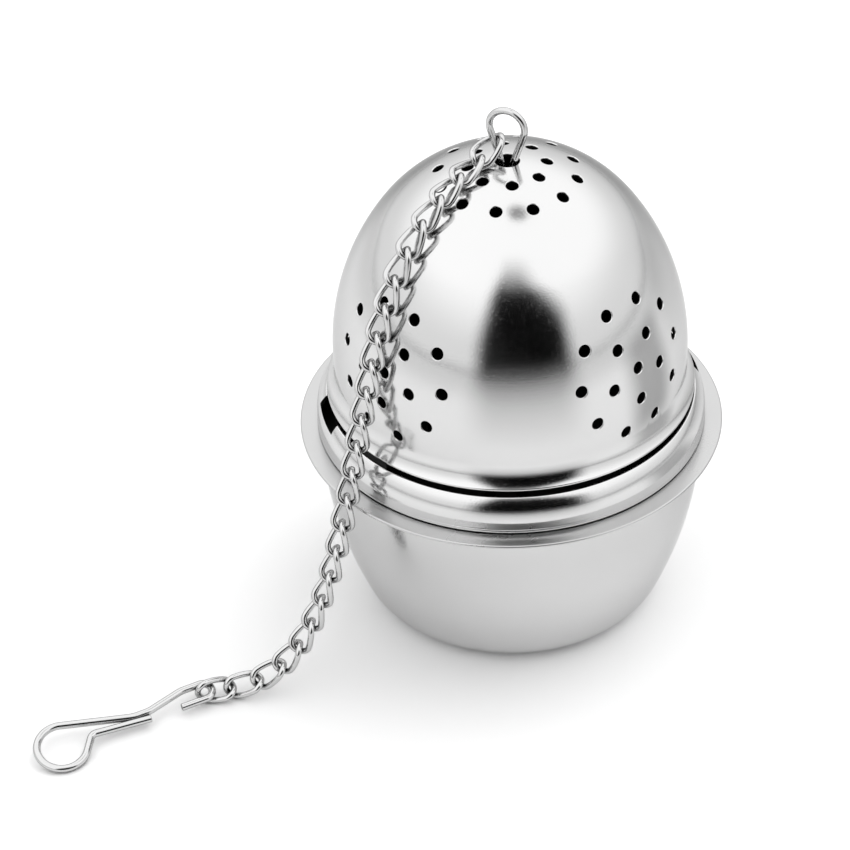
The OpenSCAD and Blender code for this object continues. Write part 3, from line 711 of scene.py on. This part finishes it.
def noise(tree, where, scale, detail, roughness=0.5, **settings):
    node = add(tree, "ShaderNodeTexNoise", **settings)
    for name, value in (("Scale", scale), ("Detail", detail), ("Roughness", roughness)):
        node.inputs[name].default_value = value
    tree.links.new(where, node.inputs["Vector"])
    return node.outputs["Fac"]


def ranged(tree, value, start, end, low=0.0, high=1.0, **settings):
    """A value carried from the range start to end over to the range low to high."""
    node = add(tree, "ShaderNodeMapRange", **settings)
    for name, number in (("From Min", start), ("From Max", end), ("To Min", low), ("To Max", high)):
        node.inputs[name].default_value = number
    tree.links.new(value, node.inputs["Value"])
    return node.outputs["Result"]


def combine(tree, operation, a, b):
    """Two values taken together by a math node."""
    node = add(tree, "ShaderNodeMath", operation=operation)
    tree.links.new(a, node.inputs[0])
    tree.links.new(b, node.inputs[1])
    return node.outputs[0]


def bump(tree, height, strength, over=None):
    """Normals from a height, on top of another bump's where one is given."""
    node = add(tree, "ShaderNodeBump")
    node.inputs["Strength"].default_value = strength
    node.inputs["Distance"].default_value = BUMP_HEIGHT
    tree.links.new(height, node.inputs["Height"])
    if over is not None:
        tree.links.new(over, node.inputs["Normal"])
    return node.outputs["Normal"]


def steel(name, grey, edge, roughness, spread, lines, grain, pits=0.0, shade_reach=0.0):
    """Polished steel: fine turning lines, soft smears and a little grain in the gloss. edge tints it at a glance, a
    painted shade that darkens the rims, pits is the dullness of fine specks, and the last argument is the reach in
    metres of painted shade, darker where pieces lie close."""
    material, tree, surface = new_material(name)
    link = tree.links.new
    shader = add(tree, "ShaderNodeBsdfPrincipled")
    shader.inputs["Metallic"].default_value = 1.0
    # The edge tint is painted shade: it darkens the rims seen at a glance
    shader.inputs["Specular Tint"].default_value = (edge, edge, edge, 1)
    link(shader.outputs["BSDF"], surface)
    where = add(tree, "ShaderNodeTexCoord").outputs["Object"]

    # Turning lines lie at one distance from the axis and one height
    apart = add(tree, "ShaderNodeSeparateXYZ")
    link(where, apart.inputs[0])
    flat = add(tree, "ShaderNodeCombineXYZ")
    link(apart.outputs["X"], flat.inputs["X"])
    link(apart.outputs["Y"], flat.inputs["Y"])
    reach = add(tree, "ShaderNodeVectorMath", operation="LENGTH")
    link(flat.outputs[0], reach.inputs[0])
    ringed = add(tree, "ShaderNodeCombineXYZ")
    link(reach.outputs["Value"], ringed.inputs["X"])
    link(apart.outputs["Z"], ringed.inputs["Y"])

    brush = noise(tree, ringed.outputs[0], *LINE_NOISE, noise_dimensions="2D")
    speck = noise(tree, where, *SPECK_NOISE)
    smear = noise(tree, where, *SMEAR_NOISE)
    gloss = ranged(tree, smear, *SMEAR_RANGE, roughness - spread, roughness + spread)
    if pits:
        gloss = combine(tree, "ADD", gloss, ranged(tree, speck, *SPECK_RANGE, high=pits))
    link(gloss, shader.inputs["Roughness"])

    tint = add(tree, "ShaderNodeMix", data_type="RGBA")
    smeared = SMEAR_SHARE * grey
    tint.inputs["A"].default_value = (smeared, smeared, smeared, 1)
    tint.inputs["B"].default_value = (grey, grey, grey, 1)
    link(smear, tint.inputs["Factor"])
    # Painted shade: the colour goes to a dark grey where ambient occlusion finds pieces close, in crevices and
    # between links
    if shade_reach:
        near = add(tree, "ShaderNodeAmbientOcclusion", samples=8)
        near.inputs["Distance"].default_value = shade_reach
        painted_shade = add(tree, "ShaderNodeMix", data_type="RGBA")
        painted_shade.inputs["A"].default_value = (CREVICE_SHADE_GREY, CREVICE_SHADE_GREY, CREVICE_SHADE_GREY, 1)
        link(ranged(tree, near.outputs["AO"], *OPEN_RANGE), painted_shade.inputs["Factor"])
        link(tint.outputs["Result"], painted_shade.inputs["B"])
        tint = painted_shade
    link(tint.outputs["Result"], shader.inputs["Base Color"])
    link(bump(tree, speck, grain, over=bump(tree, brush, lines)), shader.inputs["Normal"])
    return material


def stage_mesh(name, points, faces, material):
    mesh = bpy.data.meshes.new(name)
    mesh.from_pydata(points, [], faces)
    mesh.materials.append(material)
    obj = bpy.data.objects.new(name, mesh)
    bpy.context.scene.collection.objects.link(obj)
    return obj


def set_floor():
    material, tree, surface = new_material("pale_floor")
    shader = add(tree, "ShaderNodeBsdfPrincipled")
    shader.inputs["Base Color"].default_value = (FLOOR_GREY, FLOOR_GREY, FLOOR_GREY, 1)
    shader.inputs["Roughness"].default_value = FLOOR_ROUGHNESS
    shader.inputs["Specular IOR Level"].default_value = 0.0
    tree.links.new(shader.outputs["BSDF"], surface)
    side = FLOOR_SIDE
    corners = [(-side, -side, 0), (side, -side, 0), (side, side, 0), (-side, side, 0)]
    stage_mesh("floor", corners, [(0, 1, 2, 3)], material)


def ramp(low, high, value):
    """0 up to low, 1 from high on, and straight between them."""
    return min(max((value - low) / (high - low), 0), 1)


def smooth(low, high, value):
    """A ramp with soft ends."""
    t = ramp(low, high, value)
    return t * t * (3 - 2 * t)


def window(rise, fall, value):
    """1 between two soft flanks and 0 beyond them."""
    return smooth(*rise, value) * (1 - smooth(*fall, value))


def heading(az, el):
    """Direction by the angle from the front to the right and the angle above the level, in degrees."""
    a, e = math.radians(az), math.radians(el)
    return Vector((math.sin(a) * math.cos(e), -math.cos(a) * math.cos(e), math.sin(e)))


def floor_share(el):
    """Share of the floor's light that is left: less towards the horizon, where the floor meets the low sky."""
    return 1 - (FLOOR_DIM + HORIZON_DIM * smooth(*HORIZON_EL, el)) * window(*FLOOR_EL, el)


def top_share(az, el):
    """Share of the light that is left near the zenith: a small dim opening."""
    off = math.degrees(heading(az, el).angle(heading(*TOP_AT)))
    return 1 - TOP_DIM * (1 - smooth(*TOP_FLANK, off))


def front_share(az, el):
    """Share of the light that is left in front of the object: a dark bell and the floor dimmed below it."""
    left = BELL_LEFT + LEFT_IN * ramp(*LEFT_EL, el) ** LEFT_BEND
    right = BELL_RIGHT - RIGHT_IN * smooth(*RIGHT_EL, el)
    blur = BELL_BLUR + LOW_BLUR * smooth(*LOW_BLUR_DEPTH, -el)
    fray = blur + HIGH_BLUR * smooth(*HIGH_BLUR_EL, el)
    across = window((left - blur, left + blur), (right - fray, right + fray), az)
    apron = APRON_DIM * ramp(*APRON_EL, el)
    depth = (1 - (1 - apron) * (1 - smooth(*BELL_FOOT, el))) * (1 - smooth(*BELL_FADE, el))
    return (1 - across * depth) * floor_share(el)


def back_share(az, el):
    """Share of the light that is left at the right and behind: a grey strip on the floor and a dim horizon."""
    strip = window(*STRIP_AZ, az) * window(*STRIP_EL, el)
    back = window(*BACK_AZ, az) * window(*BACK_EL, el)
    return (1 - max(STRIP_DIM * strip, (BACK_DIM + BACK_MORE * smooth(*BACK_MORE_AZ, az)) * back)) * floor_share(el)


def set_card(name, spread, heights, share, far=CARD_NEAR, shadow=False):
    """A soft sheet of grey gauze round the object, bent forward along the floor. It takes light from reflections
    alone, or with shadow from the floor and the object's own shading alone."""
    middle = Vector(CARD_MIDDLE)
    points, shades = [], []
    for el in heights:
        for az in spread:
            way = heading(az, el)
            reach = min(far, (CARD_LOW - middle.z) / way.z) if el < 0 else far
            points.append(tuple(middle + reach * way))
            shades.append(share(az, el))
    wide = len(spread)
    faces = [(k * wide + i, k * wide + i + 1, (k + 1) * wide + i + 1, (k + 1) * wide + i)
             for k in range(len(heights) - 1) for i in range(wide - 1)]
    material, tree, surface = new_material(name)
    gauze = add(tree, "ShaderNodeBsdfTransparent")
    shade = add(tree, "ShaderNodeAttribute", attribute_name="shade")
    tree.links.new(shade.outputs["Color"], gauze.inputs["Color"])
    tree.links.new(gauze.outputs[0], surface)
    card = stage_mesh(name, points, faces, material)
    layer = card.data.attributes.new("shade", "FLOAT_COLOR", "POINT")
    layer.data.foreach_set("color", [v for c in shades for v in (c, c, c, 1)])
    card.visible_camera = False
    card.visible_glossy = not shadow
    card.visible_diffuse = shadow
    card.visible_shadow = shadow


def set_world():
    """An even white tent, brighter overhead."""
    world = bpy.data.worlds.new("tent")
    bpy.context.scene.world = world
    world.use_nodes = True
    tree = world.node_tree
    tree.nodes.clear()
    out = add(tree, "ShaderNodeOutputWorld")
    tent = add(tree, "ShaderNodeBackground")
    tent.inputs["Color"].default_value = (1, 1, 1, 1)
    tree.links.new(tent.outputs[0], out.inputs["Surface"])
    where = add(tree, "ShaderNodeTexCoord")
    apart = add(tree, "ShaderNodeSeparateXYZ")
    tree.links.new(where.outputs["Generated"], apart.inputs[0])
    rise = ranged(tree, apart.outputs["Z"], *RISE, SKY_LOW, SKY_HIGH, interpolation_type="SMOOTHSTEP")
    across = ranged(tree, apart.outputs["X"], -1.0, 1.0, LEFT_SHARE, RIGHT_SHARE)
    tree.links.new(combine(tree, "MULTIPLY", rise, across), tent.inputs["Strength"])


def set_lamp():
    """A broad soft lamp from the right and behind, whose own glare stays out of the steel."""
    lamp = bpy.data.lights.new("side_lamp", "SUN")
    lamp.energy, lamp.angle = LAMP_ENERGY, math.radians(LAMP_DEG)
    obj = bpy.data.objects.new("side_lamp", lamp)
    obj.rotation_euler = Vector(LAMP_WAY).to_track_quat("-Z", "Y").to_euler()
    obj.visible_glossy = False
    bpy.context.scene.collection.objects.link(obj)


def set_camera():
    """Camera at the photograph's viewing angle."""
    elevation, roll = math.radians(CAMERA_EL), math.radians(CAMERA_ROLL)
    right = Vector((1, 0, 0))
    ahead = Vector((0, math.cos(elevation), -math.sin(elevation)))
    up = Vector((0, math.sin(elevation), math.cos(elevation)))
    x_axis = math.cos(roll) * right + math.sin(roll) * up
    y_axis = -math.sin(roll) * right + math.cos(roll) * up
    shift_x, shift_y = CAMERA_SHIFT
    centre = Vector(CAMERA_AIM) - shift_x * x_axis - shift_y * y_axis - CAMERA_AWAY * ahead
    cam = bpy.data.objects.new("camera", bpy.data.cameras.new("camera"))
    bpy.context.scene.collection.objects.link(cam)
    cam.data.sensor_width = SENSOR
    cam.data.lens = SENSOR * FOCAL_PX / FRAME_PX
    cam.data.clip_start, cam.data.clip_end = CLIP
    axes = Matrix((x_axis, y_axis, -ahead)).transposed()
    cam.matrix_world = Matrix.Translation(centre * MM) @ axes.to_4x4()
    bpy.context.scene.camera = cam


set_camera()
# Each edge tint below is painted shade that darkens the rims at a glance, most on the wire and the dark inside
bright = steel("polished_sheet", 0.77, edge=0.75, roughness=0.125, spread=0.03, lines=0.12, grain=0.3, pits=0.12)
spun = steel("spun_cup", 0.71, edge=0.75, roughness=0.12, spread=0.04, lines=0.12, grain=0.2, pits=0.15)
satin = steel("satin_flange", 0.62, edge=0.75, roughness=0.3, spread=0.05, lines=0.12, grain=0.2)
# Painted shade: the inside faces, hole walls and tabs are near black, so that the holes and the gap under the dome
# look dark
shaded_inside = steel("painted_shade_inside", 0.04, edge=0.2, roughness=0.5, spread=0.06, lines=0.05, grain=0.05)
# The wire carries painted shade where links lie close, and a low edge tint that paints dark outlines along its
# sides
thread = steel("bright_wire", 0.7, edge=0.3, roughness=0.12, spread=0.03, lines=0.05, grain=0.08, shade_reach=0.0008)
drip_cup([spun, satin])
lower_cap([bright, shaded_inside])
dome([bright, shaded_inside])
wire("top_eye_wire", "top_eye", EYE_PATH, EYE_D, eye_place, thread)
chain_links(thread)
wire("end_hook_wire", "end_hook", HOOK_PATH, HOOK_D, hook_place, thread)
set_floor()
# Spread and heights of the gauze are in degrees, as in the shares
set_card("front_card", range(-110, 63, 2), range(-62, 69, 2), front_share)
set_card("front_shade", range(-50, 63, 2), range(0, 69, 2), front_share, far=CARD_FAR, shadow=True)
set_card("back_card", range(62, 251, 2), range(-62, 17, 2), back_share)
set_card("top_card", range(0, 185, 4), range(70, 90), top_share)
set_world()
set_lamp()

bpy.context.scene.view_settings.view_transform = "Standard"
